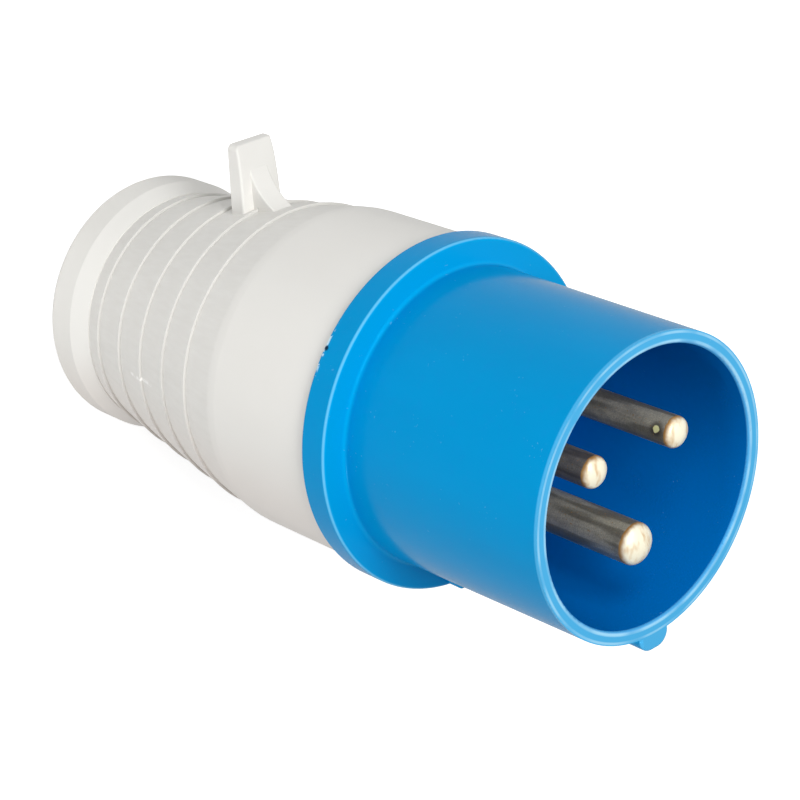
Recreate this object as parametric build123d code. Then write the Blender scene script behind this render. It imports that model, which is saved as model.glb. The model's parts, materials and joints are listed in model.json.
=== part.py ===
from build123d import *

from dataclasses import dataclass
import math
import os

# Industrial pin and sleeve plug, two poles and earth, 32 A.
# Millimetres. The plug stands on the flat rear of its gland nut with its mouth up:
# +Z runs along the plug from the nut to the mouth, the origin is the centre of the nut's
# rear face, +Y points to the lid lug (12 o'clock) and -Y to the key rib (6 o'clock).

# Front sleeve
SLEEVE_RIM_R = 28.85
SLEEVE_FLARE = 0.4
SLEEVE_WALL = 2.6
SLEEVE_DEPTH = 47.9
SLEEVE_ROOT_ROUNDING = 0.8
RIM_ROUNDING = 0.6
COLLAR_LEDGE = 5.15
COLLAR_THICKNESS = 6.0
COLLAR_ROUNDING = 0.7
MOUTH_DEPTH = 46.0
MOUTH_FLOOR = 3.0
SPIGOT_LENGTH = 16.0
SPIGOT_WALL = 2.6
THREAD_GAP = 1.2
KEY_WIDTH = 7.2
KEY_HEIGHT = 3.2
KEY_ROUNDING = 2.8
KEY_ROOT_WIDTH = 11.6
KEY_ROOT_HEIGHT = 5.0
KEY_ROOT_LENGTH = 3.4
KEY_ROOT_ROUNDING = 1.0

# Rear cover: outside
COVER_LENGTH = 78.3
COVER_BELOW_COLLAR = 1.5
COVER_INSIDE_NUT = 0.2
FIRST_RIDGE_FROM_REAR = 4.4
FIRST_RIDGE_RISE = 1.1
LAST_RIDGE_DROP = 1.2
RIDGE_COUNT = 5
RIDGE_PITCH = 8.9
RIDGE_STEP = 0.6
RIDGE_ROUNDING = 0.15
SHOULDER_FROM_LAST_RIDGE = 9.7
SHOULDER_ROUNDING = 14.0

# Rear cover: inside
COVER_WALL = 2.3
COVER_FRONT_WALL = 3.3
CHAMBER_END_FROM_SHOULDER = 4.35
CHAMBER_ROUNDING = 2.0
GLAND_SPIGOT_WALL = 3.0
GLAND_SPIGOT_REAR_GAP = 0.5
SEAT_HOLE_FIT = 4.5
SEAT_THICKNESS = 3.0

# Lid lug on the rear cover
LUG_FROM_REAR = 25.7
LUG_HEIGHT = 13.7
LUG_TOP_WIDTH = 9.0
LUG_BASE_WIDTH = 10.0
LUG_TOP_THICKNESS = 2.6
LUG_BASE_THICKNESS = 4.1
LUG_LEAN_BELOW_TOP = 1.2
LUG_LEFT_CORNER_R = 1.2
LUG_RIGHT_CORNER_R = 2.0
LUG_EDGE_ROUNDING = 0.45
GUSSET_WIDTH = 4.6
GUSSET_BELOW_TOP = 4.3
GUSSET_INSET = 0.5
GUSSET_DROP = 3.5
GUSSET_LENGTH = 12.8
GUSSET_TOE_DEPTH = 1.5
GUSSET_TOE_RISE = 1.6
GUSSET_TOE_SWEEP = 5.5
GUSSET_EDGE_ROUNDING = 0.3

# Gland nut
NUT_BAND = 7.0
NUT_LENGTH = 11.0
NUT_BEVEL = 1.75
NUT_BEVEL_ROUNDING = 0.5
NUT_WALL = 3.2
NUT_REAR_WALL = 3.5
NUT_REAR_ROUNDING = 1.2
CABLE_HOLE_FIT = 2.0
CABLE_HOLE_ROUNDING = 1.0

# Cable gland inside the nut
CLAMP_FIT = 0.3
CLAMP_BASE = 3.0
CLAMP_BASE_LEDGE = 0.5
FINGER_COUNT = 12
FINGER_WALL = 2.1
FINGER_GAP = 1.6
FINGER_FROM_SEAT = 3.8
CLAMP_KEY_WIDTH = 3.0
CLAMP_KEY_HEIGHT = 1.2
WASHER_THICKNESS = 0.8
CABLE_SEAL_BORE_R = 8.5
CABLE_SEAL_WALL = 8.4
CABLE_SEAL_LENGTH = 12.0
CABLE_SEAL_LIP = 0.7
CABLE_SEAL_LIPS = 3

# Cover seal
SEAL_SECTION_R = 1.15
SEAL_GROOVE_DEPTH = 1.4
SEAL_GROOVE_WIDTH = 2.8
SEAL_GROOVE_FROM_COLLAR = 0.9
SEAL_FIT = 0.1

# Pins and terminals
PIN_CIRCLE_R = 12.2
EARTH_ANGLE = -90.0
LINE_ANGLE = 30.0
NEUTRAL_ANGLE = 150.0
LIVE_PIN_R = 3.0
EARTH_PIN_R = 4.0
TIP_BELOW_RIM = 2.2
TIP_DOME_SHARE = 0.4
TIP_ROUNDING_SHARE = 0.45
PIN_ROOT_STEP = 0.4
PIN_HOLE_FIT = 0.1
FLANGE_LIP = 1.3
FLANGE_THICKNESS = 3.0
BARREL_WALL = 1.9
BARREL_LENGTH = 15.0
LIVE_WIRE_R = 2.7
EARTH_WIRE_R = 3.2
WIRE_HOLE_DEPTH = 12.5
TERMINAL_SCREW_R = 2.0
TERMINAL_HEAD_R = 3.3
TERMINAL_HEAD_HEIGHT = 2.4
TERMINAL_SCREW_STANDOFF = 1.2
TERMINAL_SCREW_FROM_END = 5.0

# Pin carrier, retaining plate and their screws
CARRIER_THICKNESS = 10.0
CARRIER_FIT = 0.3
PLATE_THICKNESS = 3.0
PLATE_HOLE_FIT = 0.15
BARRIER_THICKNESS = 1.6
BARRIER_HEIGHT = 11.0
BARRIER_FROM_SCREW = 1.0
SCREW_ANGLES = [90.0, 210.0, 330.0]
SCREW_FROM_SPIGOT = 6.7
BOSS_R = 3.2
BOSS_HEIGHT = 6.0
BOSS_FIT = 0.15
CARRIER_SCREW_R = 1.5
CARRIER_HEAD_R = 2.8
CARRIER_HEAD_HEIGHT = 2.0
CARRIER_SCREW_GRIP = 4.5
SCREW_FIT = 0.05
SLOT_WIDTH = 1.0
SLOT_DEPTH = 1.1

# How near a round edge has to be to the height and radius it is looked for at
EDGE_MATCH = 0.02

# Heights of the plug's main faces
COVER_REAR_Z = NUT_LENGTH
COVER_FRONT_Z = COVER_REAR_Z + COVER_LENGTH
COLLAR_FRONT_Z = COVER_FRONT_Z + COLLAR_THICKNESS
RIM_Z = COLLAR_FRONT_Z + SLEEVE_DEPTH
TIP_Z = RIM_Z - TIP_BELOW_RIM
MOUTH_FLOOR_Z = RIM_Z - MOUTH_DEPTH
CARRIER_FRONT_Z = MOUTH_FLOOR_Z - MOUTH_FLOOR
CARRIER_REAR_Z = CARRIER_FRONT_Z - CARRIER_THICKNESS
PLATE_REAR_Z = CARRIER_REAR_Z - PLATE_THICKNESS
BARREL_REAR_Z = PLATE_REAR_Z - BARREL_LENGTH
SPIGOT_REAR_Z = COVER_FRONT_Z - SPIGOT_LENGTH
SEAL_GROOVE_FRONT_Z = COVER_FRONT_Z - SEAL_GROOVE_FROM_COLLAR
SEAL_GROOVE_REAR_Z = SEAL_GROOVE_FRONT_Z - SEAL_GROOVE_WIDTH
FIRST_RIDGE_Z = COVER_REAR_Z + FIRST_RIDGE_FROM_REAR
LAST_RIDGE_Z = FIRST_RIDGE_Z + (RIDGE_COUNT - 1) * RIDGE_PITCH
SHOULDER_Z = LAST_RIDGE_Z + SHOULDER_FROM_LAST_RIDGE
CHAMBER_FRONT_Z = SHOULDER_Z - CHAMBER_END_FROM_SHOULDER
LUG_REAR_Z = COVER_REAR_Z + LUG_FROM_REAR
GLAND_SPIGOT_REAR_Z = NUT_REAR_WALL + GLAND_SPIGOT_REAR_GAP
CLAMP_TOP_Z = NUT_REAR_WALL + CLAMP_BASE
WASHER_TOP_Z = CLAMP_TOP_Z + WASHER_THICKNESS
SEAT_Z = WASHER_TOP_Z + CABLE_SEAL_LENGTH
FINGER_TOP_Z = SEAT_Z - FINGER_FROM_SEAT
CHAMBER_REAR_Z = SEAT_Z + SEAT_THICKNESS

# Radii from the sleeve's rim back to the cover's front
MOUTH_R = SLEEVE_RIM_R - SLEEVE_WALL
SLEEVE_BASE_R = SLEEVE_RIM_R + SLEEVE_FLARE
COLLAR_R = SLEEVE_BASE_R + COLLAR_LEDGE
COVER_FRONT_R = COLLAR_R - COVER_BELOW_COLLAR
COVER_BORE_R = COVER_FRONT_R - COVER_FRONT_WALL
SPIGOT_R = COVER_BORE_R - THREAD_GAP
SPIGOT_BORE_R = SPIGOT_R - SPIGOT_WALL
SEAL_GROOVE_R = SPIGOT_R - SEAL_GROOVE_DEPTH
CARRIER_R = SPIGOT_BORE_R - CARRIER_FIT
SCREW_CIRCLE_R = SPIGOT_BORE_R - SCREW_FROM_SPIGOT

# Radii from the cable's seal out to the nut
CABLE_HOLE_R = CABLE_SEAL_BORE_R + CABLE_HOLE_FIT
CLAMP_BASE_BORE_R = CABLE_HOLE_R + CLAMP_BASE_LEDGE
SEAT_HOLE_R = CABLE_SEAL_BORE_R + SEAT_HOLE_FIT
CABLE_SEAL_R = CABLE_SEAL_BORE_R + CABLE_SEAL_WALL
FINGER_BORE_R = CABLE_SEAL_R + CLAMP_FIT
CLAMP_R = FINGER_BORE_R + FINGER_WALL
GLAND_SPIGOT_BORE_R = CLAMP_R + CLAMP_FIT
GLAND_SPIGOT_R = GLAND_SPIGOT_BORE_R + GLAND_SPIGOT_WALL
NUT_BORE_R = GLAND_SPIGOT_R + THREAD_GAP
NUT_R = NUT_BORE_R + NUT_WALL
NUT_LIP_R = NUT_R - NUT_BEVEL

# Radii of the cover's grip
COVER_REAR_R = NUT_LIP_R - COVER_INSIDE_NUT
FIRST_RIDGE_R = COVER_REAR_R + FIRST_RIDGE_RISE
LAST_RIDGE_R = COVER_FRONT_R - LAST_RIDGE_DROP


def on_circle(radius, degrees):
    """Point on a circle about the plug's axis, as (x, y)."""
    turn = math.radians(degrees)
    return radius * math.cos(turn), radius * math.sin(turn)


@dataclass
class Pole:
    """One pin with its terminal barrel."""

    name: str
    angle: float
    pin_r: float
    wire_r: float

    @property
    def place(self):
        """Where the pin's axis stands on the pin circle, as (x, y)."""
        return on_circle(PIN_CIRCLE_R, self.angle)

    @property
    def root_r(self):
        """Radius of the pin where it passes the carrier and the mouth's floor."""
        return self.pin_r + PIN_ROOT_STEP

    @property
    def barrel_r(self):
        """Outside radius of the terminal barrel."""
        return self.wire_r + BARREL_WALL

    @property
    def flange_r(self):
        """Radius of the flange that the retaining plate traps."""
        return self.barrel_r + FLANGE_LIP


POLES = [
    Pole("earth", EARTH_ANGLE, EARTH_PIN_R, EARTH_WIRE_R),
    Pole("line", LINE_ANGLE, LIVE_PIN_R, LIVE_WIRE_R),
    Pole("neutral", NEUTRAL_ANGLE, LIVE_PIN_R, LIVE_WIRE_R),
]


def turned(points):
    """Solid of revolution about Z of an outline given by its (radius, height) corners."""
    outline = Polyline([(radius, 0, height) for radius, height in points], close=True)
    return revolve(make_face(outline), Axis.Z)


def rod(x, y, low_z, high_z, radius):
    """Upright round bar between two heights."""
    upright = (Align.CENTER, Align.CENTER, Align.MIN)
    return Pos(x, y, low_z) * Cylinder(radius, high_z - low_z, align=upright)


def rims(solid, radius, height):
    """Round edges of a solid at one height and one radius about the plug's axis."""
    circles = solid.edges().filter_by(GeomType.CIRCLE)
    return [
        edge
        for edge in circles
        if abs(edge.radius - radius) < EDGE_MATCH
        and abs(edge.arc_center.Z - height) < EDGE_MATCH
        and math.hypot(edge.arc_center.X, edge.arc_center.Y) < EDGE_MATCH
    ]


def ridge_line(height):
    """Radius of the ridge tops at a height: they lie on one cone."""
    slope = (LAST_RIDGE_R - FIRST_RIDGE_R) / (LAST_RIDGE_Z - FIRST_RIDGE_Z)
    return FIRST_RIDGE_R + slope * (height - FIRST_RIDGE_Z)


def grip_inside(height):
    """Radius of the hollow under the grip: a wall's thickness under the ridges' feet."""
    return ridge_line(height) - RIDGE_STEP - COVER_WALL


def slotted_screw(shank_r, shank_length, head_r, head_height):
    """Cheese-head screw, head up, with the underside of its head at z = 0."""
    screw = rod(0, 0, -shank_length, 0, shank_r) + rod(0, 0, 0, head_height, head_r)
    screw = fillet(rims(screw, head_r, head_height), SLOT_DEPTH / 3)
    slot = Pos(0, 0, head_height - SLOT_DEPTH / 2) * Box(3 * head_r, SLOT_WIDTH, SLOT_DEPTH)
    return screw - slot


def make_gland_nut():
    """Cap nut: a smooth band with a bevel in front and a round-edged cable hole behind."""
    nut = turned([
        (CABLE_HOLE_R, 0),
        (NUT_R, 0),
        (NUT_R, NUT_BAND),
        (NUT_LIP_R, NUT_LENGTH),
        (NUT_BORE_R, NUT_LENGTH),
        (NUT_BORE_R, NUT_REAR_WALL),
        (CABLE_HOLE_R, NUT_REAR_WALL),
    ])
    nut = fillet(rims(nut, NUT_R, 0), NUT_REAR_ROUNDING)
    nut = fillet(rims(nut, NUT_R, NUT_BAND), NUT_BEVEL_ROUNDING)
    return fillet(rims(nut, CABLE_HOLE_R, 0), CABLE_HOLE_ROUNDING)


def clamp_keys(width, height, low_z, high_z):
    """Two blocks left and right that reach out past the clamp ring's edge."""
    length = 2 * (CLAMP_R + height)
    middle = (low_z + high_z) / 2
    bar = Pos(0, 0, middle) * Box(length, width, high_z - low_z)
    return bar - rod(0, 0, low_z, high_z, FINGER_BORE_R)


def make_clamp_ring():
    """Ring of spring fingers round the cable seal; two keys stop it turning in the cover."""
    chamfer = FINGER_WALL / 2
    ring = turned([
        (CLAMP_BASE_BORE_R, NUT_REAR_WALL),
        (CLAMP_R, NUT_REAR_WALL),
        (CLAMP_R, FINGER_TOP_Z - chamfer),
        (CLAMP_R - chamfer, FINGER_TOP_Z),
        (FINGER_BORE_R, FINGER_TOP_Z),
        (FINGER_BORE_R, CLAMP_TOP_Z),
        (CLAMP_BASE_BORE_R, CLAMP_TOP_Z),
    ])
    height = FINGER_TOP_Z - CLAMP_TOP_Z
    slit = Pos(CLAMP_R, 0, CLAMP_TOP_Z + height / 2) * Box(3 * FINGER_WALL, FINGER_GAP, height)
    step = 360 / FINGER_COUNT
    slits = [Rot(0, 0, (number + 0.5) * step) * slit for number in range(FINGER_COUNT)]
    keys = clamp_keys(CLAMP_KEY_WIDTH, CLAMP_KEY_HEIGHT, NUT_REAR_WALL, CLAMP_TOP_Z)
    return ring - slits + keys


def make_slip_washer():
    """Flat washer that lets the clamp ring press the seal without wringing it."""
    disc = rod(0, 0, CLAMP_TOP_Z, WASHER_TOP_Z, CABLE_SEAL_R)
    return disc - rod(0, 0, CLAMP_TOP_Z, WASHER_TOP_Z, CLAMP_BASE_BORE_R)


def make_cable_seal():
    """Rubber sleeve with lips inside that close on the cable."""
    half_pitch = CABLE_SEAL_LENGTH / (2 * CABLE_SEAL_LIPS)
    wide = CABLE_SEAL_BORE_R + CABLE_SEAL_LIP
    points = [
        (CABLE_SEAL_R, WASHER_TOP_Z),
        (CABLE_SEAL_R, SEAT_Z - half_pitch),
        (CABLE_SEAL_R - half_pitch, SEAT_Z),
        (wide, SEAT_Z),
    ]
    for lip in range(CABLE_SEAL_LIPS):
        top = SEAT_Z - 2 * lip * half_pitch
        points += [
            (CABLE_SEAL_BORE_R, top - half_pitch / 2),
            (CABLE_SEAL_BORE_R, top - 3 * half_pitch / 2),
            (wide, top - 2 * half_pitch),
        ]
    return turned(points)


def ridge_heights():
    """Heights of the ridge tops, from the rear."""
    return [FIRST_RIDGE_Z + number * RIDGE_PITCH for number in range(RIDGE_COUNT)]


def grip_outline():
    """Outside corners of the cover from its rear shoulder to its front, as (radius, height)."""
    points = [(COVER_REAR_R, COVER_REAR_Z)]
    for height in ridge_heights():
        top = ridge_line(height)
        points += [(top, height), (top - RIDGE_STEP, height)]
    return points + [(COVER_FRONT_R, SHOULDER_Z), (COVER_FRONT_R, COVER_FRONT_Z)]


def make_lug_plate(root_y, top_y):
    """Upright plate of the lug: rounded corners, and a front face that leans back at the top."""
    base = LUG_BASE_WIDTH / 2
    top = LUG_TOP_WIDTH / 2
    face = make_face(Polyline([(-base, root_y), (base, root_y), (top, top_y), (-top, top_y)], close=True))
    face = fillet(face.vertices().sort_by(Axis.Y)[-2:].sort_by(Axis.X)[0], LUG_LEFT_CORNER_R)
    face = fillet(face.vertices().sort_by(Axis.Y)[-1:], LUG_RIGHT_CORNER_R)
    base_front_z = LUG_REAR_Z + LUG_BASE_THICKNESS
    front = Bezier(
        (0, root_y, base_front_z),
        (0, top_y - LUG_LEAN_BELOW_TOP, base_front_z),
        (0, top_y, LUG_REAR_Z + LUG_TOP_THICKNESS),
    )
    back = Polyline([front @ 1, (0, top_y, LUG_REAR_Z), (0, root_y, LUG_REAR_Z), front @ 0])
    plate = extrude(make_face(front + back), base, both=True, dir=(1, 0, 0))
    plate = plate & Pos(0, 0, LUG_REAR_Z) * extrude(face, LUG_BASE_THICKNESS)
    across = plate.edges().filter_by(Axis.Z, reverse=True).sort_by(Axis.Y)
    return fillet(across[2:], LUG_EDGE_ROUNDING)


def make_gusset(root_y, top_y):
    """Curved web that runs down from the lug's front face to the grip."""
    start_y = top_y - GUSSET_BELOW_TOP
    front_z = LUG_REAR_Z + LUG_BASE_THICKNESS
    toe_z = LUG_REAR_Z + GUSSET_LENGTH
    toe_y = ridge_line(toe_z) - GUSSET_TOE_DEPTH
    sweep = Bezier(
        (0, start_y, front_z - GUSSET_INSET),
        (0, start_y - GUSSET_DROP, front_z),
        (0, toe_y + GUSSET_TOE_RISE, toe_z - GUSSET_TOE_SWEEP),
        (0, toe_y, toe_z),
    )
    middle_z = LUG_REAR_Z + LUG_TOP_THICKNESS / 2
    under = Polyline([sweep @ 1, (0, root_y, toe_z), (0, root_y, middle_z), (0, start_y, middle_z), sweep @ 0])
    web = extrude(make_face(sweep + under), GUSSET_WIDTH / 2, both=True, dir=(1, 0, 0))
    return fillet(web.edges().filter_by(GeomType.BEZIER), GUSSET_EDGE_ROUNDING)


def make_lug():
    """Lid lug: an upright plate with a curved gusset before it."""
    root_y = grip_inside(LUG_REAR_Z) + COVER_WALL / 2
    top_y = ridge_line(LUG_REAR_Z) + LUG_HEIGHT
    return make_lug_plate(root_y, top_y) + make_gusset(root_y, top_y)


def make_rear_cover():
    """Hollow handle: stepped grip, lid lug, threaded front bore and gland spigot behind."""
    lead_in_z = SEAT_Z - (GLAND_SPIGOT_BORE_R - FINGER_BORE_R)
    hollow_rear_r = grip_inside(CHAMBER_REAR_Z)
    points = [
        (GLAND_SPIGOT_BORE_R, GLAND_SPIGOT_REAR_Z),
        (GLAND_SPIGOT_R, GLAND_SPIGOT_REAR_Z),
        (GLAND_SPIGOT_R, COVER_REAR_Z),
    ]
    points += grip_outline()
    points += [
        (COVER_BORE_R, COVER_FRONT_Z),
        (COVER_BORE_R, CHAMBER_FRONT_Z),
        (hollow_rear_r, CHAMBER_REAR_Z),
        (SEAT_HOLE_R, CHAMBER_REAR_Z),
        (SEAT_HOLE_R, SEAT_Z),
        (FINGER_BORE_R, SEAT_Z),
        (GLAND_SPIGOT_BORE_R, lead_in_z),
    ]
    cover = turned(points)
    for height in ridge_heights():
        cover = fillet(rims(cover, ridge_line(height), height), RIDGE_ROUNDING)
    cover = fillet(rims(cover, COVER_FRONT_R, SHOULDER_Z), SHOULDER_ROUNDING)
    cover = fillet(rims(cover, hollow_rear_r, CHAMBER_REAR_Z), CHAMBER_ROUNDING)
    key_slots = clamp_keys(
        CLAMP_KEY_WIDTH + 2 * CLAMP_FIT,
        CLAMP_KEY_HEIGHT + CLAMP_FIT,
        GLAND_SPIGOT_REAR_Z,
        lead_in_z,
    )
    return cover + make_lug() - key_slots


def make_cover_seal():
    """O-ring in the groove behind the collar."""
    height = (SEAL_GROOVE_REAR_Z + SEAL_GROOVE_FRONT_Z) / 2
    return Pos(0, 0, height) * Torus(SEAL_GROOVE_R + SEAL_FIT + SEAL_SECTION_R, SEAL_SECTION_R)


def make_key_bar(width, height, rounding, front_z):
    """Round-backed bar under the sleeve, rooted in its wall, from inside the collar to a height."""
    reach = SLEEVE_RIM_R + height
    root = MOUTH_R + SLEEVE_WALL / 2
    end = Pos(0, -(root + reach) / 2) * Rectangle(width, reach - root)
    end = fillet(end.vertices().sort_by(Axis.Y)[:2], rounding)
    root_z = COLLAR_FRONT_Z - COLLAR_THICKNESS / 2
    bar = Pos(0, 0, root_z) * extrude(end, front_z - root_z)
    return fillet(bar.edges().group_by(Axis.Z)[-1], RIM_ROUNDING)


def make_key_rib():
    """Key rib along the sleeve, with a wider and higher block where it meets the collar."""
    rib = make_key_bar(KEY_WIDTH, KEY_HEIGHT, KEY_ROUNDING, RIM_Z)
    block_front_z = COLLAR_FRONT_Z + KEY_ROOT_LENGTH
    return rib + make_key_bar(KEY_ROOT_WIDTH, KEY_ROOT_HEIGHT, KEY_ROOT_ROUNDING, block_front_z)


def make_front_sleeve():
    """Shroud, collar, mouth floor and threaded spigot in one moulding, with the key rib."""
    sleeve = turned([
        (SPIGOT_BORE_R, SPIGOT_REAR_Z),
        (SPIGOT_R, SPIGOT_REAR_Z),
        (SPIGOT_R, SEAL_GROOVE_REAR_Z),
        (SEAL_GROOVE_R, SEAL_GROOVE_REAR_Z),
        (SEAL_GROOVE_R, SEAL_GROOVE_FRONT_Z),
        (SPIGOT_R, SEAL_GROOVE_FRONT_Z),
        (SPIGOT_R, COVER_FRONT_Z),
        (COLLAR_R, COVER_FRONT_Z),
        (COLLAR_R, COLLAR_FRONT_Z),
        (SLEEVE_BASE_R, COLLAR_FRONT_Z),
        (SLEEVE_RIM_R, RIM_Z),
        (MOUTH_R, RIM_Z),
        (MOUTH_R, MOUTH_FLOOR_Z),
        (0, MOUTH_FLOOR_Z),
        (0, CARRIER_FRONT_Z),
        (SPIGOT_BORE_R, CARRIER_FRONT_Z),
    ])
    sleeve = fillet(rims(sleeve, COLLAR_R, COLLAR_FRONT_Z), COLLAR_ROUNDING)
    sleeve = fillet(rims(sleeve, COLLAR_R, COVER_FRONT_Z), COLLAR_ROUNDING / 2)
    sleeve = fillet(rims(sleeve, SLEEVE_BASE_R, COLLAR_FRONT_Z), SLEEVE_ROOT_ROUNDING)
    sleeve = fillet(rims(sleeve, MOUTH_R, MOUTH_FLOOR_Z), SLEEVE_ROOT_ROUNDING)
    sleeve = sleeve + make_key_rib()
    sleeve = fillet(rims(sleeve, MOUTH_R, RIM_Z), RIM_ROUNDING)
    boss_z = CARRIER_FRONT_Z - BOSS_HEIGHT
    for angle in SCREW_ANGLES:
        x, y = on_circle(SCREW_CIRCLE_R, angle)
        sleeve = sleeve + rod(x, y, boss_z, CARRIER_FRONT_Z, BOSS_R)
        sleeve = sleeve - rod(x, y, boss_z, CARRIER_FRONT_Z, CARRIER_SCREW_R + SCREW_FIT)
    for pole in POLES:
        sleeve = sleeve - rod(*pole.place, CARRIER_FRONT_Z, MOUTH_FLOOR_Z, pole.root_r + PIN_HOLE_FIT)
    return sleeve


def make_pin_carrier():
    """Disc behind the mouth floor: pin holes with flange seats, and holes for the bosses."""
    carrier = rod(0, 0, CARRIER_REAR_Z, CARRIER_FRONT_Z, CARRIER_R)
    seat_z = CARRIER_REAR_Z + FLANGE_THICKNESS
    for pole in POLES:
        hole = rod(*pole.place, CARRIER_REAR_Z, CARRIER_FRONT_Z, pole.root_r + PIN_HOLE_FIT)
        seat = rod(*pole.place, CARRIER_REAR_Z, seat_z, pole.flange_r + PIN_HOLE_FIT)
        carrier = carrier - hole - seat
    boss_z = CARRIER_FRONT_Z - BOSS_HEIGHT - BOSS_FIT
    for angle in SCREW_ANGLES:
        x, y = on_circle(SCREW_CIRCLE_R, angle)
        boss_hole = rod(x, y, boss_z, CARRIER_FRONT_Z, BOSS_R + BOSS_FIT)
        screw_hole = rod(x, y, CARRIER_REAR_Z, boss_z, CARRIER_SCREW_R + BOSS_FIT)
        carrier = carrier - boss_hole - screw_hole
    return carrier


def make_retaining_plate():
    """Plate that traps the pins' flanges, with a three-armed barrier between the terminals."""
    plate = rod(0, 0, PLATE_REAR_Z, CARRIER_REAR_Z, CARRIER_R)
    arm_length = SCREW_CIRCLE_R - CARRIER_HEAD_R - BARRIER_FROM_SCREW
    arm = Box(arm_length, BARRIER_THICKNESS, BARRIER_HEIGHT)
    arm = Pos(arm_length / 2, 0, PLATE_REAR_Z - BARRIER_HEIGHT / 2) * arm
    for angle in SCREW_ANGLES:
        x, y = on_circle(SCREW_CIRCLE_R, angle)
        plate = plate + Rot(0, 0, angle) * arm
        plate = plate - rod(x, y, PLATE_REAR_Z, CARRIER_REAR_Z, CARRIER_SCREW_R + BOSS_FIT)
    for pole in POLES:
        plate = plate - rod(*pole.place, PLATE_REAR_Z, CARRIER_REAR_Z, pole.barrel_r + PLATE_HOLE_FIT)
    return plate


def make_carrier_screw(angle):
    """Screw through the plate and the carrier into a boss of the sleeve."""
    x, y = on_circle(SCREW_CIRCLE_R, angle)
    boss_z = CARRIER_FRONT_Z - BOSS_HEIGHT
    length = boss_z + CARRIER_SCREW_GRIP - PLATE_REAR_Z
    screw = slotted_screw(CARRIER_SCREW_R, length, CARRIER_HEAD_R, CARRIER_HEAD_HEIGHT)
    return Pos(x, y, PLATE_REAR_Z) * Rot(180, 0, 0) * screw


def make_pin(pole):
    """Turned brass pin: domed tip, shank, flange, and a terminal barrel bored for the wire."""
    shank_r = pole.pin_r
    dome = shank_r * TIP_DOME_SHARE
    dome_z = TIP_Z - dome
    sphere_r = (shank_r**2 + dome**2) / (2 * dome)
    half_way_z = TIP_Z - sphere_r + math.sqrt(sphere_r**2 - (shank_r / 2) ** 2)
    flange_z = CARRIER_REAR_Z + FLANGE_THICKNESS
    tip = ThreePointArc((shank_r, 0, dome_z), (shank_r / 2, 0, half_way_z), (0, 0, TIP_Z))
    body = Polyline([
        (0, 0, TIP_Z),
        (0, 0, BARREL_REAR_Z),
        (pole.barrel_r, 0, BARREL_REAR_Z),
        (pole.barrel_r, 0, CARRIER_REAR_Z),
        (pole.flange_r, 0, CARRIER_REAR_Z),
        (pole.flange_r, 0, flange_z),
        (pole.root_r, 0, flange_z),
        (pole.root_r, 0, MOUTH_FLOOR_Z),
        (shank_r, 0, MOUTH_FLOOR_Z),
        (shank_r, 0, dome_z),
    ])
    pin = revolve(make_face(tip + body), Axis.Z)
    pin = fillet(rims(pin, shank_r, dome_z), shank_r * TIP_ROUNDING_SHARE)
    wire_hole = rod(0, 0, BARREL_REAR_Z, BARREL_REAR_Z + WIRE_HOLE_DEPTH, pole.wire_r)
    screw_hole = rod(0, 0, 0, 2 * pole.barrel_r, TERMINAL_SCREW_R + SCREW_FIT)
    screw_z = BARREL_REAR_Z + TERMINAL_SCREW_FROM_END
    pin = pin - wire_hole - Pos(0, 0, screw_z) * Rot(0, 90, 0) * screw_hole
    return Pos(*pole.place) * Rot(0, 0, pole.angle) * pin


def make_terminal_screw(pole):
    """Screw that clamps the wire in a pin's barrel, set from outside towards the axis."""
    length = TERMINAL_SCREW_STANDOFF + pole.barrel_r
    screw = slotted_screw(TERMINAL_SCREW_R, length, TERMINAL_HEAD_R, TERMINAL_HEAD_HEIGHT)
    x, y = on_circle(PIN_CIRCLE_R + length, pole.angle)
    screw_z = BARREL_REAR_Z + TERMINAL_SCREW_FROM_END
    return Pos(x, y, screw_z) * Rot(0, 0, pole.angle) * Rot(0, 90, 0) * screw


def make_parts():
    """Every piece of the plug by name, each in its place."""
    parts = {
        "gland_nut": make_gland_nut(),
        "clamp_ring": make_clamp_ring(),
        "slip_washer": make_slip_washer(),
        "cable_seal": make_cable_seal(),
        "rear_cover": make_rear_cover(),
        "cover_seal": make_cover_seal(),
        "front_sleeve": make_front_sleeve(),
        "pin_carrier": make_pin_carrier(),
        "retaining_plate": make_retaining_plate(),
    }
    for number, angle in enumerate(SCREW_ANGLES, start=1):
        parts[f"carrier_screw_{number}"] = make_carrier_screw(angle)
    for pole in POLES:
        parts[f"{pole.name}_pin"] = make_pin(pole)
        parts[f"{pole.name}_terminal_screw"] = make_terminal_screw(pole)
    return parts


os.makedirs("parts", exist_ok=True)
for node, solid in make_parts().items():
    solid.label = node
    export_step(solid, f"parts/{node}.step")
    print(f"{node}: {len(solid.solids())} solid, {solid.volume:.1f} mm3")
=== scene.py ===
# %% [markdown]
# # An industrial pin and sleeve plug
#
# The real plug is a blue moulded sleeve with three brass pins in it, screwed into a pale grey
# hollow handle, with a gland nut behind that grips the cable. The solid pieces come from the CAD
# model, which stands on its gland nut with its mouth up. This lesson gives them their looks: it
# makes the finishes out of nodes, and adds what a solid model leaves out, the screw threads.
#
# First the frame is loaded. It holds every CAD piece in its place, in metres.

# %% The frame
import json
import math

import bpy
import numpy as np
from mathutils import Matrix, Vector


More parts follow.
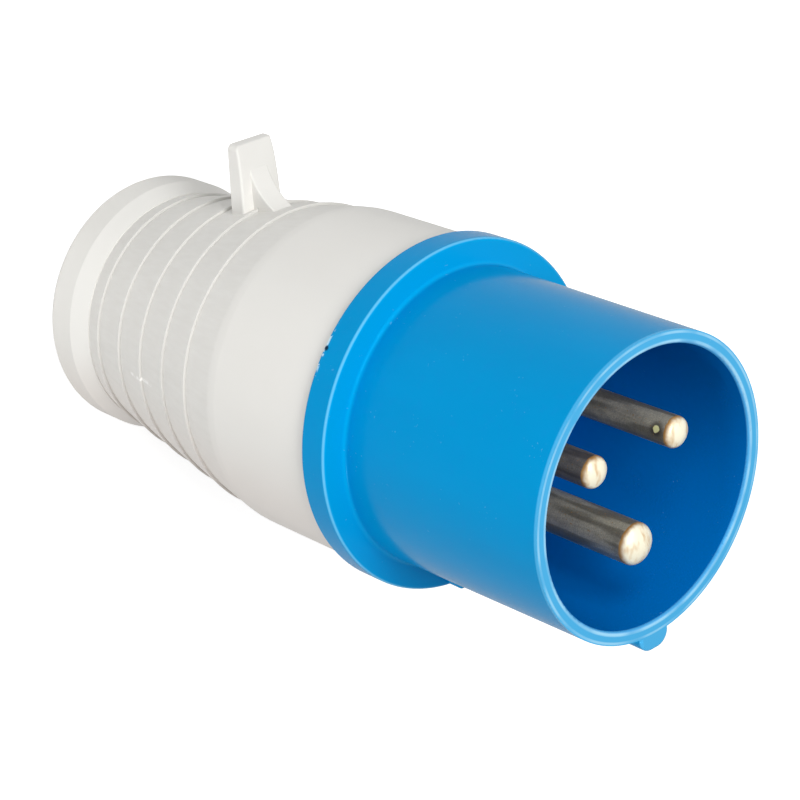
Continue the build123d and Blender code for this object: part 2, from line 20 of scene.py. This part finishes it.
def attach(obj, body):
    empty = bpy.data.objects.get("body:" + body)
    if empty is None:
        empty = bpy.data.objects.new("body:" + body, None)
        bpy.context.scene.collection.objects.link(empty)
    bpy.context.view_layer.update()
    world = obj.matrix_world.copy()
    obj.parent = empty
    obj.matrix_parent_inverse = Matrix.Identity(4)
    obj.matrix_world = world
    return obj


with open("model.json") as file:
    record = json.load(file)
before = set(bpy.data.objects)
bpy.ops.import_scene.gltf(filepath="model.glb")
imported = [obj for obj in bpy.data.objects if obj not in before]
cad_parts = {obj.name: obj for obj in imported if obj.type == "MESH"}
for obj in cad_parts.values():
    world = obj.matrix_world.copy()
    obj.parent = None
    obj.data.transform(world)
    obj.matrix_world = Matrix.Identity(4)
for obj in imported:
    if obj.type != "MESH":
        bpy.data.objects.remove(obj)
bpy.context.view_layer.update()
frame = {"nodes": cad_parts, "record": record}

MM = 0.001


# %% [markdown]
# ## Sizes
#
# These are the plug's own sizes, in millimetres, which the steps below share. Heights run from
# the nut's flat rear to the rim of the mouth, and a radius is from the plug's axis.

# %% Sizes
NUT_BAND_Z = 7.0
NUT_BORE_R = 23.8
GLAND_SPIGOT_R = 22.6
COVER_REAR_Z = 11.0
FIRST_RIDGE_Z = 15.4
FIRST_RIDGE_R = 26.15
RIDGE_PITCH = 8.9
RIDGE_SLOPE = 0.156
LAST_RIDGE_Z = 51.0
GRIP_END_Z = 60.0
COVER_FRONT_Z = 89.3
COVER_BORE_R = 29.6
SPIGOT_R = 28.4
COLLAR_R = 34.4
COLLAR_FRONT_Z = 95.3
MOUTH_FLOOR_Z = 97.2
MOUTH_R = 26.25
SLEEVE_RIM_R = 28.85
SLEEVE_BASE_R = 29.25
RIM_Z = 143.2
PIN_TIP_Z = 141.0
print("plug is", RIM_Z, "mm long and", 2 * COLLAR_R, "mm across")

# %% [markdown]
# ## The camera
#
# The photograph was taken with a long lens from in front of the mouth, a little to its left and
# above. A camera is three axes and a place. Its right, up and back axes are written out here as
# rows of a matrix, which is plainer than three angles, because each is a direction on the plug.

# %% Camera
CAMERA_PLACE = Vector((-278.114, 187.611, 396.343)) * MM
RIGHT = Vector((0.733605, -0.061416, 0.676787))
UP = Vector((0.316520, 0.912166, -0.260320))
BACK = Vector((-0.601356, 0.405192, 0.688611))
FOCAL_PIXELS = 2394.4
PHOTO_PIXELS = 800.0
CENTRE_PIXELS = (398.47, 390.78)

lens = bpy.data.cameras.new("photo_camera")
lens.sensor_width = 36.0
lens.lens = FOCAL_PIXELS * lens.sensor_width / PHOTO_PIXELS
lens.shift_x = (PHOTO_PIXELS / 2 - CENTRE_PIXELS[0]) / PHOTO_PIXELS
lens.shift_y = (CENTRE_PIXELS[1] - PHOTO_PIXELS / 2) / PHOTO_PIXELS
lens.clip_start = 0.01
camera = bpy.data.objects.new("photo_camera", lens)
bpy.context.scene.collection.objects.link(camera)
turn = Matrix((RIGHT, UP, BACK)).transposed().to_4x4()
camera.matrix_world = Matrix.Translation(CAMERA_PLACE) @ turn
bpy.context.scene.camera = camera
print("lens", round(lens.lens, 2), "mm, shift", round(lens.shift_x, 4), round(lens.shift_y, 4))

# %% [markdown]
# ## A small language for finishes
#
# A finish is a tree of shader nodes. Built by hand, one sum of two masks takes three nodes and
# four links. So a `Wire` stands for one output socket, and adding or multiplying wires adds the
# Math nodes. The other way is to write every node and link out, which is longer and hides what
# the finish is.

# %% Wires
class Wire:
    """One output socket in a finish. Arithmetic on it adds Math nodes."""

    def __init__(self, finish, socket):
        self.finish = finish
        self.socket = socket

    def math(self, operation, *others):
        inputs = dict(enumerate((self, *others)))
        return self.finish.node("ShaderNodeMath", {"operation": operation}, inputs)

    def __add__(self, other):
        return self.math("ADD", other)

    def __mul__(self, other):
        return self.math("MULTIPLY", other)

    def __sub__(self, other):
        return self.math("SUBTRACT", other)

    def __rsub__(self, other):
        return self.finish.node("ShaderNodeMath", {"operation": "SUBTRACT"}, {0: other, 1: self})

    def __truediv__(self, other):
        return self.math("DIVIDE", other)

    __radd__ = __add__
    __rmul__ = __mul__


print("a Wire adds, subtracts, multiplies and divides")

# %% [markdown]
# All nodes come from one method, `node`, which sets a node's options first and then fills its
# sockets with numbers, colours or wires. The other methods are the few shapes that the finishes
# need: a soft cloud, a step from one height to another, a line, a spot, a mix of two colours and
# a bump. All take their lengths in millimetres.

# %% Finishes
SPOT_CORE = 0.4


class Finish:
    """A material, or the world, while its nodes are being made. Lengths are in millimetres."""

    def __init__(self, name, owners=bpy.data.materials):
        self.owner = owners.new(name)
        self.owner.use_nodes = True
        self.tree = self.owner.node_tree
        self.tree.nodes.clear()
        self.place = self.node("ShaderNodeTexCoord", out="Object")

    def node(self, kind, settings=(), inputs=(), out=0):
        """Adds one node: its settings come first, then its sockets. Returns the wire at `out`."""
        made = self.tree.nodes.new(kind)
        for name, value in dict(settings).items():
            setattr(made, name, value)
        for socket, value in dict(inputs).items():
            if isinstance(value, Wire):
                self.tree.links.new(value.socket, made.inputs[socket])
            else:
                made.inputs[socket].default_value = value
        return Wire(self, made.outputs[out])

    def outputs(self, wire, names):
        """The outputs of the node behind a wire, by name."""
        return [Wire(self, wire.socket.node.outputs[name]) for name in names]

    def parts(self):
        """The x, y and z of the place on the plug, in millimetres, as three wires."""
        split = self.node("ShaderNodeSeparateXYZ", {}, {0: self.place})
        return [part / MM for part in self.outputs(split, "XYZ")]

    def step(self, value, start, end):
        """Rises smoothly from 0 where the value is `start` to 1 where it is `end`."""
        settings = {"interpolation_type": "SMOOTHSTEP"}
        inputs = {"Value": value, "From Min": start, "From Max": end}
        return self.node("ShaderNodeMapRange", settings, inputs)

    def line(self, value, middle, reach, core):
        """1 where the value is within `core` of the middle, fading to 0 at `reach` from it."""
        return self.step((value - middle).math("ABSOLUTE"), reach, core)

    def spot(self, place, radius):
        """1 near a point of the plug, fading to 0 at the radius round it."""
        inputs = {0: self.place, 1: tuple(value * MM for value in place)}
        away = self.node("ShaderNodeVectorMath", {"operation": "DISTANCE"}, inputs, out="Value")
        return self.step(away / MM, radius, SPOT_CORE * radius)

    def noise(self, size, detail=3.0, stretch=(1.0, 1.0, 1.0)):
        """Soft cloud of about 0 to 1 with lumps of `size`. A stretch over 1 draws them out."""
        scale = tuple(1.0 / (size * MM * share) for share in stretch)
        mapped = self.node("ShaderNodeMapping", {}, {"Vector": self.place, "Scale": scale})
        inputs = {"Vector": mapped, "Scale": 1.0, "Detail": detail}
        return self.node("ShaderNodeTexNoise", {}, inputs)

    def mix(self, share, first, second):
        """Colour between two, by a share from 0 to 1."""
        settings = {"data_type": "RGBA"}
        return self.node("ShaderNodeMix", settings, {0: share, 6: first, 7: second}, out=2)

    def bump(self, height, depth):
        """Normal bent by a height field of 0 to 1 that is `depth` deep."""
        return self.node("ShaderNodeBump", {}, {"Height": height, "Distance": depth * MM})

    def shade(self, **sockets):
        """Ends the tree in a Principled shader. Names are its own, with _ for a space."""
        named = {name.replace("_", " "): value for name, value in sockets.items()}
        return self.end(self.node("ShaderNodeBsdfPrincipled", {}, named))

    def end(self, shader, kind="ShaderNodeOutputMaterial"):
        """Ends the tree in its output and returns the material or world."""
        output = self.tree.nodes.new(kind)
        self.tree.links.new(shader.socket, output.inputs["Surface"])
        return self.owner


def rgb(red, green, blue):
    """Colour as a screen shows it, 0 to 255, made linear for the shader."""
    def linear(value):
        value = value / 255.0
        return value / 12.92 if value <= 0.04045 else ((value + 0.055) / 1.055) ** 2.4

    return (linear(red), linear(green), linear(blue), 1.0)


print("mid grey is", round(rgb(128, 128, 128)[0], 3), "in linear light")

# %% [markdown]
# ## The blue sleeve
#
# The sleeve is moulded in glass-filled nylon, coloured through. Its colour is strong and even,
# with a faint cloudiness along the way the plastic flowed. In the mouth, where light hardly
# reaches, a painted shade makes it deeper. One cloud of noise would do for a toy. Two, of
# different sizes, look moulded.

# %% The moulded blue, with painted shade in the mouth
def blue_with_painted_mouth_shade(made, z, from_axis):
    """Clouded blue, with painted shade on the wall and floor of the mouth."""
    cloud = made.noise(10.0, stretch=(1.0, 1.0, 2.5))
    mottle = made.step(made.noise(1.6, 2.0), 0.50, 0.75)
    colour = made.mix(cloud, rgb(0, 140, 200), rgb(0, 147, 208))
    colour = made.mix(mottle * 0.10, colour, rgb(30, 128, 205))
    # Painted shade: the wall and floor of the mouth are darker, as light hardly reaches them.
    within = made.step(from_axis, MOUTH_R + 0.75, MOUTH_R + 0.35)
    above = made.step(z, MOUTH_FLOOR_Z - 0.2, MOUTH_FLOOR_Z - 0.1)
    return made.mix(within * above, colour, rgb(0, 112, 194))


print("mouth is", round(RIM_Z - MOUTH_FLOOR_Z, 1), "mm deep")

# %% [markdown]
# The rim of the mouth is painted paler than the rest, a painted highlight, with two lighter
# painted lines where its roundings catch the light. The upper part of the collar's face is
# painted lighter where light from above falls on it, its front edge has a painted highlight, and
# its rear edge is chipped at one place, with painted glints along it and a dark nick in it. A
# mask for each of these places is plainer than painting, and holds at any distance.

# %% Painted highlights and wear on the blue
NICK = (-26.85, 21.35, COVER_FRONT_Z + 0.6)
CHIPPED = (-27.1, 21.0, COVER_FRONT_Z + 0.5)


def painted_rim_highlights(made, colour, z, from_axis):
    """The colour with a painted highlight on the rim, and a painted line along each rounding."""
    # Painted highlight: the rim is made paler, and its two roundings carry lighter lines.
    rim = made.step(z, RIM_Z - 0.75, RIM_Z - 0.35)
    colour = made.mix(rim * 0.55, colour, rgb(100, 196, 244))
    inner = made.line(from_axis, MOUTH_R + 0.55, 0.45, 0.1)
    outer = made.line(from_axis, SLEEVE_RIM_R - 0.45, 0.35, 0.1)
    # Noise breaks the painted highlight lines into patches.
    patchy = made.step(made.noise(9.0, 2.0), 0.25, 0.65)
    lines = rim * (inner + outer * 0.8) * patchy
    return made.mix(lines * 0.75, colour, rgb(176, 228, 252))


def collar_highlights_and_nick(made, colour, y, z, from_axis):
    """Painted highlights on the collar's upper face, front edge and chipped rear edge; the nick.
    """
    # Painted light: the upper part of the collar's face is lighter, where light from above falls.
    face = made.step(z, COLLAR_FRONT_Z - 0.3, COLLAR_FRONT_Z - 0.1)
    face = face * made.step(from_axis, SLEEVE_BASE_R - 0.05, SLEEVE_BASE_R + 0.35)
    colour = made.mix(face * made.step(y, -30.0, 10.0), colour, rgb(0, 158, 218))
    # Painted highlight along the collar's front edge.
    outer = made.step(from_axis, COLLAR_R - 0.45, COLLAR_R - 0.2)
    front_edge = outer * made.step(z, COLLAR_FRONT_Z - 0.6, COLLAR_FRONT_Z - 0.3)
    colour = made.mix(front_edge * 0.55, colour, rgb(130, 210, 244))
    # Painted glints along the chipped part of the rear edge.
    rear_edge = outer * made.step(z, COVER_FRONT_Z + 0.8, COVER_FRONT_Z + 0.4)
    chip_glints = made.step(made.noise(0.9, 1.0), 0.50, 0.54) * made.spot(CHIPPED, 6.0)
    colour = made.mix(rear_edge * chip_glints, colour, rgb(200, 228, 240))
    return made.mix(made.spot(NICK, 0.7), colour, rgb(16, 44, 66))


print("the nick is", round(NICK[2] - COVER_FRONT_Z, 1), "mm in front of the handle")

# %% [markdown]
# The skin of the plastic has a soft sheen with a little orange peel, and a few specks of dust.
# Its reflections are tinted and kept weak, because nylon that is coloured through looks deep
# blue even where it turns away.

# %% Blue plastic
def blue_plastic():
    made = Finish("blue_plastic")
    x, y, z = made.parts()
    from_axis = (x * x + y * y).math("SQRT")
    colour = blue_with_painted_mouth_shade(made, z, from_axis)
    colour = painted_rim_highlights(made, colour, z, from_axis)
    colour = collar_highlights_and_nick(made, colour, y, z, from_axis)
    dust = made.step(made.noise(0.5, 0.0), 0.76, 0.80) * made.step(made.noise(6.0), 0.55, 0.65)
    return made.shade(
        Base_Color=made.mix(dust * 0.15, colour, rgb(150, 205, 235)),
        Roughness=made.noise(4.0) * 0.08 + 0.15,
        IOR=1.5,
        Specular_IOR_Level=0.12,
        Specular_Tint=(0.05, 0.5, 0.9, 1.0),
        Normal=made.bump(made.noise(0.7, 1.0), 0.006),
    )


finishes = {"blue_plastic": blue_plastic()}
print("blue plastic has", len(finishes["blue_plastic"].node_tree.nodes), "nodes")

# %% [markdown]
# ## The grey handle and nut
#
# The handle and the gland nut are pale grey nylon. The smooth front of the handle has a soft
# gloss. The stepped grip behind it was textured in the mould, so it is duller and a shade
# darker, with faint streaks along the plug. Its lug is smooth, so the grip's mask ends a little
# above the ridges' cone. A painted shade lies on each ridge's narrow ledge. These come at even
# heights: the height over the ridges' pitch, less its whole part, tells how near the next one is.

# %% The grip
def grip_mask(made, z, handle, from_axis):
    """1 on the textured grip, 0 on the smooth front, the nut and the lug."""
    behind = made.step(z, GRIP_END_Z + 0.5, GRIP_END_Z - 0.5)
    over_ridges = from_axis - (z - FIRST_RIDGE_Z) * RIDGE_SLOPE - FIRST_RIDGE_R
    return behind * handle * made.step(over_ridges, 0.5, 0.2)


def shaded_ledges(made, z, grip):
    """1 on the ledge at the front of each ridge, where a painted shade goes."""
    since = (z - FIRST_RIDGE_Z) / RIDGE_PITCH + 10.5
    from_crest = (since.math("FRACT") - 0.5).math("ABSOLUTE") * RIDGE_PITCH
    last = made.step(z, LAST_RIDGE_Z + 1.5, LAST_RIDGE_Z + 1.0)
    return made.step(from_crest, 0.25, 0.12) * grip * last


print("ridges:", round((LAST_RIDGE_Z - FIRST_RIDGE_Z) / RIDGE_PITCH) + 1)

# %% [markdown]
# A short pale scuff crosses two ridges at the left, where the handle has been dragged over
# something hard. It is a thin line along the plug that noise has torn up.

# %% Scuff
SCUFF_Y = -0.1
SCUFF_LOW_Z = 28.5
SCUFF_HIGH_Z = 38.0


def scuff(made, x, y, z):
    """1 on the torn line that was scraped over two ridges at the left."""
    path = made.line(y, SCUFF_Y, 0.5, 0.15)
    along = made.step(z, SCUFF_LOW_Z, SCUFF_LOW_Z + 1.0)
    along = along * made.step(z, SCUFF_HIGH_Z, SCUFF_HIGH_Z - 1.5)
    side = made.step(x, -20.0, -21.0)
    torn = made.step(made.noise(0.9), 0.38, 0.50)
    return path * along * side * torn


print("scuff runs from", SCUFF_LOW_Z, "to", SCUFF_HIGH_Z, "mm up")

# %% [markdown]
# One finish serves the handle and the nut, since both are the same plastic, and masks by height
# tell them apart. Two finishes would say the same clouds and sheen twice. The underside is a
# faint warm tint, and the nut's bevel gets a painted shade that dims the light falling on it.

# %% Grey plastic
def grey_plastic():
    made = Finish("grey_plastic")
    x, y, z = made.parts()
    from_axis = (x * x + y * y).math("SQRT")
    handle = made.step(z, COVER_REAR_Z - 0.1, COVER_REAR_Z + 0.1)
    grip = grip_mask(made, z, handle, from_axis)
    cloud = made.noise(18.0, stretch=(1.0, 1.0, 2.0))
    streak = made.noise(1.1, 2.0, stretch=(1.0, 1.0, 9.0))
    smooth = made.mix(cloud, rgb(224, 222, 217), rgb(230, 229, 225))
    dull = made.mix(streak, rgb(221, 219, 214), rgb(230, 229, 225))
    colour = made.mix(grip, smooth, dull)
    # Painted shade on the narrow ledge of each ridge.
    colour = made.mix(shaded_ledges(made, z, grip) * 0.7, colour, rgb(206, 205, 201))
    # Painted shade: the nut's bevel is made darker against the light it catches.
    bevel = made.step(z, NUT_BAND_Z - 0.2, NUT_BAND_Z + 0.3) * (1.0 - handle)
    colour = made.mix(bevel * 0.4, colour, rgb(222, 221, 217))
    # Warmer towards -y, on the underside.
    under = made.step(y, 2.0, -16.0)
    colour = made.mix(under * 0.45, colour, rgb(226, 216, 209))
    colour = made.mix(scuff(made, x, y, z) * 0.7, colour, rgb(252, 251, 249))
    return made.shade(
        Base_Color=colour,
        Roughness=made.noise(3.0) * 0.08 + 0.36 + grip * 0.12,
        IOR=1.46,
        Specular_IOR_Level=0.2,
        Normal=made.bump(made.noise(0.4, 1.0) + streak * grip, 0.006),
    )


finishes["grey_plastic"] = grey_plastic()
print("grey plastic has", len(finishes["grey_plastic"].node_tree.nodes), "nodes")

# %% [markdown]
# ## The brass pins
#
# The pins are turned from brass bar. The shank has gone dull brown, with fine rings from the
# lathe and streaks from the sockets it has been in, and the neutral pin is nearly black, a bluish
# painted reflection of the dark mouth. Noise drawn out round the plug gives the rings, and noise
# drawn out along it the streaks.

# %% Dull brass, with a painted reflection on the neutral pin
NEUTRAL_SIDE_X = -5.0


def tarnish_and_neutral_reflection(made, x, rings, grain):
    """Tarnish: grain and rings, streaks, patches, and a painted reflection on the neutral pin."""
    streaks = made.noise(1.6, 1.0, stretch=(1.0, 1.0, 10.0))
    patch = made.noise(2.2, stretch=(1.0, 1.0, 2.0))
    colour = made.mix(rings * 0.2 + grain * 0.8, rgb(112, 108, 92), rgb(250, 242, 214))
    colour = made.mix(made.step(streaks, 0.40, 0.62) * 0.6, colour, rgb(74, 70, 58))
    colour = made.mix(made.step(patch, 0.45, 0.7) * 0.4, colour, rgb(120, 114, 104))
    # Painted reflection: the neutral pin is darkened to a bluish black, as it mirrors the dark
    # mouth.
    neutral = made.step(x, NEUTRAL_SIDE_X, NEUTRAL_SIDE_X - 1.0)
    return made.mix(neutral * 0.55, colour, rgb(50, 48, 66))


print("the neutral pin is the one left of", NEUTRAL_SIDE_X, "mm")

# %% [markdown]
# Use has polished the pins' ends, so each dome shines from the line where it leaves the shank.
# Its colour there is a painted reflection, brown at that line, and a painted highlight, pale
# above. Brown creases come from what the pin has been pushed against, and also stand in for a tan
# painted reflection. The earth pin is thicker, so its dome starts a little lower.

# %% Bright brass, with painted highlight and reflection
THIN_DOME = 1.95
EARTH_DOME_MORE = 0.65
EARTH_SIDE_Y = -6.0


def above_dome_line(made, y, z):
    """Height over the uneven line where the dome leaves the shank."""
    earth = made.step(y, EARTH_SIDE_Y, EARTH_SIDE_Y - 1.0)
    return z - ((PIN_TIP_Z - THIN_DOME) - earth * EARTH_DOME_MORE)


def polished_end_painted_light(made, height, wobble):
    """Polished end: painted brown reflection at its foot, a pale painted highlight above,
    creases.
    """
    # Painted highlight and reflection: brown at the dome's foot, pale above.
    rise = made.step(height + wobble * 2.0, 0.2, 1.4)
    colour = made.mix(rise, rgb(178, 128, 66), rgb(255, 248, 222))
    # The creases also stand in for a tan painted reflection.
    crease_and_reflection = made.step(made.noise(2.2, 2.0, stretch=(0.6, 1.6, 1.0)), 0.46, 0.72)
    return made.mix(crease_and_reflection * 0.7, colour, rgb(206, 158, 92))


print("polished ends are", THIN_DOME, "and", THIN_DOME + EARTH_DOME_MORE, "mm high")

# %% [markdown]
# A few bright specks show where the tarnish has come off, and one dent near the line pin's tip
# shows bare metal in a dark ring, its pale centre partly painted light, a painted glint. Where
# the metal is bare it is a little smoother, and it is mixed with less of the metallic shader,
# because a polished end that mirrors the mouth would come out black where the photograph has it
# bright.

# %% Brass
DENT = (7.75, 7.1, 137.4)


def pin_brass():
    made = Finish("pin_brass")
    x, y, z = made.parts()
    rings = made.noise(0.35, stretch=(60.0, 60.0, 1.0))
    grain = made.noise(0.25)
    wobble = made.noise(1.2, 2.0) * 0.5 - 0.25
    height = above_dome_line(made, y, z)
    polished = made.step(height + wobble, 0.0, 0.22)
    specks = made.step(made.noise(0.3, 0.0), 0.74, 0.78)
    ragged = made.noise(0.7, 2.0) - 0.5
    dent = made.step(made.spot(DENT, 1.15) + ragged * 1.2, 0.5, 0.9)
    dull = tarnish_and_neutral_reflection(made, x, rings, grain)
    dull = made.mix(made.spot(DENT, 1.9) * 0.7, dull, rgb(60, 52, 40))
    bare = polished.math("MAXIMUM", specks * 0.7)
    colour = made.mix(bare, dull, polished_end_painted_light(made, height, wobble))
    # Painted glint: the dent's centre is pale, partly bare metal and partly painted light.
    colour = made.mix(dent, colour, rgb(255, 250, 180))
    bare = bare.math("MAXIMUM", dent)
    relief = grain * 0.1 + rings * 0.15 - dent * 0.1
    return made.shade(
        Base_Color=colour,
        Metallic=0.5 - bare * 0.3,
        Roughness=0.42 - bare * 0.06 + grain * 0.06,
        Normal=made.bump(relief * (1.0 - polished * 0.8), 0.06),
    )


finishes["pin_brass"] = pin_brass()
print("brass has", len(finishes["pin_brass"].node_tree.nodes), "nodes")

# %% [markdown]
# ## The pieces inside
#
# The pin carrier, clamp ring, seals and screws are seen only where the plug is opened. Each has
# two close colours in soft clouds, an uneven sheen and a fine grain, which is what plain moulded,
# rubber and plated pieces show at this size. One function with other colours serves them all.

# %% Plain finishes
def plain(name, low, high, roughness, metallic=0.0):
    made = Finish(name)
    return made.shade(
        Base_Color=made.mix(made.noise(3.0), low, high),
        Roughness=made.noise(0.8) * 0.15 + roughness,
        Metallic=metallic,
        Normal=made.bump(made.noise(0.5), 0.01),
    )


PLAIN = {
    "carrier_plastic": (rgb(0, 82, 150), rgb(0, 90, 160), 0.4),
    "clamp_plastic": (rgb(196, 196, 190), rgb(204, 204, 198), 0.45),
    "seal_rubber": (rgb(28, 28, 29), rgb(36, 36, 37), 0.6),
    "screw_steel": (rgb(170, 172, 174), rgb(200, 200, 198), 0.28, 1.0),
}
for name, looks in PLAIN.items():
    finishes[name] = plain(name, *looks)

for entry in frame["record"]["subparts"]:
    slots = frame["nodes"][entry["node"]].data.materials
    slots.clear()
    slots.append(finishes[entry["material_slot"]])

# %% [markdown]
# ## Screw threads
#
# The solids have plain cylinders where the plug's two threads are, with room between them. The
# real sleeve screws into the handle on a coarse thread of three starts, which closes it in under
# a turn, and the gland nut on a fine single one. Both are right-handed. Each thread is a strip
# with a trapezium for its section, wound as a helix, and its ends run out to nothing, as moulded
# threads do. A screw modifier would also wind a section, but not taper its ends.

# %% Thread shape
STEPS_A_TURN = 96
RUN_OUT_TURNS = 0.125
SLIVER = 0.04
FOOT_DEPTH = 0.15


def helix_strip(radius, height, width, lead, low_z, high_z, start_turn):
    """Points of one thread, as rows of four round its section, in millimetres.

    At a height z the thread stands at the turn start_turn + z / lead. Its section goes from a
    foot just inside the wall at `radius` to `radius + height`, and is `width` wide at the foot
    and half that at the crest. Both shrink to a sliver over the run-out at each end.
    """
    rows = int(STEPS_A_TURN * (high_z - low_z) / lead) + 1
    turns = np.linspace(low_z / lead, high_z / lead, rows)
    from_end = np.minimum(turns - turns[0], turns[-1] - turns) / RUN_OUT_TURNS
    share = (SLIVER + (1.0 - SLIVER) * np.clip(from_end, 0.0, 1.0))[:, None]
    angles = 2.0 * np.pi * (turns + start_turn)[:, None]
    foot = -FOOT_DEPTH * np.sign(height)
    radii = radius + foot + share * np.array([0.0, height - foot, height - foot, 0.0])
    heights = (turns * lead)[:, None] + share * np.array([-0.5, -0.25, 0.25, 0.5]) * width
    return np.stack([radii * np.cos(angles), radii * np.sin(angles), heights], axis=2)


def strip_faces(rows, first, turned):
    """Faces of one strip from point `first` on: four sides and two caps, all facing out.

    Row r holds points 4r to 4r + 3, and a side joins two neighbours of it to the next row's. The
    section goes one way round in a thread that points at the axis, and the other way in one that
    points away from it, so the faces of the second kind are `turned`.
    """
    row = np.arange(rows - 1)[:, None] * 4
    side = np.arange(4)[None, :]
    after = (side + 1) % 4
    sides = np.stack([row + side, row + after, row + after + 4, row + side + 4], axis=2)
    caps = np.array([[3, 2, 1, 0], [0, 1, 2, 3]]) + np.array([[0], [4 * (rows - 1)]])
    faces = np.concatenate([sides.reshape(-1, 4), caps]) + first
    return faces[:, ::-1] if turned else faces


print("a thread has", STEPS_A_TURN, "steps a turn")

# %% [markdown]
# Each thread rides on the body that it is moulded on. The inner and outer thread of a pair are
# half a pitch apart, so that each lies in the other's groove, and stays there when it is turned.

# %% Threads
THREAD_HEIGHT = 0.85
COARSE = {"width": 1.4, "lead": 12.0, "starts": 3, "low_z": 74.3, "high_z": 84.3}
FINE = {"width": 1.1, "lead": 3.0, "starts": 1, "low_z": 4.8, "high_z": 10.2}
NUT_FINE = {**FINE, "low_z": 4.4}


def thread(name, body, slot, radius, height, shift, starts, **sizes):
    """One thread of equal starts, as one piece, moved on by `shift` of a pitch.

    A negative height points at the axis. The other sizes are those of helix_strip.
    """
    points, faces, first = [], [], 0
    for number in range(starts):
        strip = helix_strip(radius, height, start_turn=(number + shift) / starts, **sizes)
        points.append(strip.reshape(-1, 3))
        faces.append(strip_faces(len(strip), first, height > 0))
        first += len(points[-1])
    mesh = bpy.data.meshes.new(name)
    mesh.from_pydata((np.concatenate(points) * MM).tolist(), [], np.concatenate(faces).tolist())
    mesh.materials.append(finishes[slot])
    piece = bpy.data.objects.new(name, mesh)
    bpy.context.scene.collection.objects.link(piece)
    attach(piece, body)
    print(name, "faces:", len(mesh.polygons), "valid:", not mesh.validate())


thread("sleeve_thread", "front_sleeve", "blue_plastic", SPIGOT_R, THREAD_HEIGHT, 0.0, **COARSE)
thread("cover_thread", "rear_cover", "grey_plastic", COVER_BORE_R, -THREAD_HEIGHT, 0.5, **COARSE)
thread("gland_thread", "rear_cover", "grey_plastic", GLAND_SPIGOT_R, THREAD_HEIGHT, 0.0, **FINE)
thread("nut_thread", "gland_nut", "grey_plastic", NUT_BORE_R, -THREAD_HEIGHT, 0.5, **NUT_FINE)

# %% [markdown]
# ## World, lamps and floor
#
# The photograph is a studio shot on white: light from all round, a broad soft lamp above, one in
# front and a weaker one low at the left. The plug stands on a white floor, which is all that the
# photograph's camera sees behind it. The world round the floor is a pale grey. The camera,
# mirrors and glass see it as it is, while its light on the plug is cut to a share of that, so
# that the plug's colours come out about as written. A view from low down shows the grey.

# %% World
WORLD_LEVEL = 0.38
WORLD_COLOUR = (0.8, 0.8, 0.8, 1.0)

studio = Finish("studio", bpy.data.worlds)
ray = studio.node("ShaderNodeLightPath")
kinds = ("Is Camera Ray", "Is Glossy Ray", "Is Transmission Ray")
camera_ray, glossy_ray, glass_ray = studio.outputs(ray, kinds)
seen = camera_ray.math("MAXIMUM", glossy_ray).math("MAXIMUM", glass_ray)
strength = seen * (1.0 - WORLD_LEVEL) + WORLD_LEVEL
sky = {"Color": WORLD_COLOUR, "Strength": strength}
glow = studio.node("ShaderNodeBackground", {}, sky)
bpy.context.scene.world = studio.end(glow, "ShaderNodeOutputWorld")
bpy.context.scene.view_settings.view_transform = "Standard"
print("world lights the plug with", round(WORLD_LEVEL * WORLD_COLOUR[0], 2), "of full white")

# %% [markdown]
# A square lamp's light on what faces it grows with its power and falls with the square of its
# distance. Each lamp's power is written as a share of what an all white world would give. On a
# surface that faces the camera, the three lamps and the world add up to about 1.2 of that.

# %% Lamps
MIDDLE = Vector((0.0, 0.0, 0.08))


def lamp(name, place, size, share):
    """Square lamp aimed at the plug that gives `share` of what an all white world would."""
    light = bpy.data.lights.new(name, "AREA")
    light.shape = "SQUARE"
    light.size = size
    away = Vector(place) - MIDDLE
    light.energy = share * math.pi**2 * away.length_squared
    lamp_object = bpy.data.objects.new(name, light)
    turned = away.to_track_quat("Z", "Y").to_matrix().to_4x4()
    lamp_object.matrix_world = Matrix.Translation(Vector(place)) @ turned
    bpy.context.scene.collection.objects.link(lamp_object)
    facing = share * away.normalized().dot(BACK)
    print(name, "lamp", round(light.energy, 2), "W, to the camera's side", round(facing, 2))


lamp("key", (-0.2, 0.72, 0.6), size=0.4, share=0.27)
lamp("front", (-0.30, 0.35, 0.95), size=0.4, share=0.64)
lamp("fill", (-0.85, -0.45, 0.14), size=0.25, share=0.29)

# %% [markdown]
# The floor is a plain white sheet that isn't part of the plug. It is matt, so it takes the plug's
# shadow, and it glows a little to the camera alone, so that it stays white.

# %% Floor
REACH = 3.0
FLOOR_COLOUR = (0.7, 0.7, 0.7, 1.0)
FLOOR_GLOW = 0.68

corners = [(-REACH, -REACH, 0), (REACH, -REACH, 0), (REACH, REACH, 0), (-REACH, REACH, 0)]
sheet = bpy.data.meshes.new("floor")
sheet.from_pydata(corners, [], [(0, 1, 2, 3)])

white = Finish("floor")
matt = white.node("ShaderNodeBsdfDiffuse", {}, {"Color": FLOOR_COLOUR})
glow = white.node("ShaderNodeEmission", {}, {"Strength": FLOOR_GLOW})
lit = white.node("ShaderNodeAddShader", {}, {0: matt, 1: glow})
by_camera = white.node("ShaderNodeLightPath", out="Is Camera Ray")
shown = white.node("ShaderNodeMixShader", {}, {0: by_camera, 1: matt, 2: lit})
sheet.materials.append(white.end(shown))

floor = bpy.data.objects.new("floor", sheet)
bpy.context.scene.collection.objects.link(floor)
print("floor is", 2 * REACH, "m across")
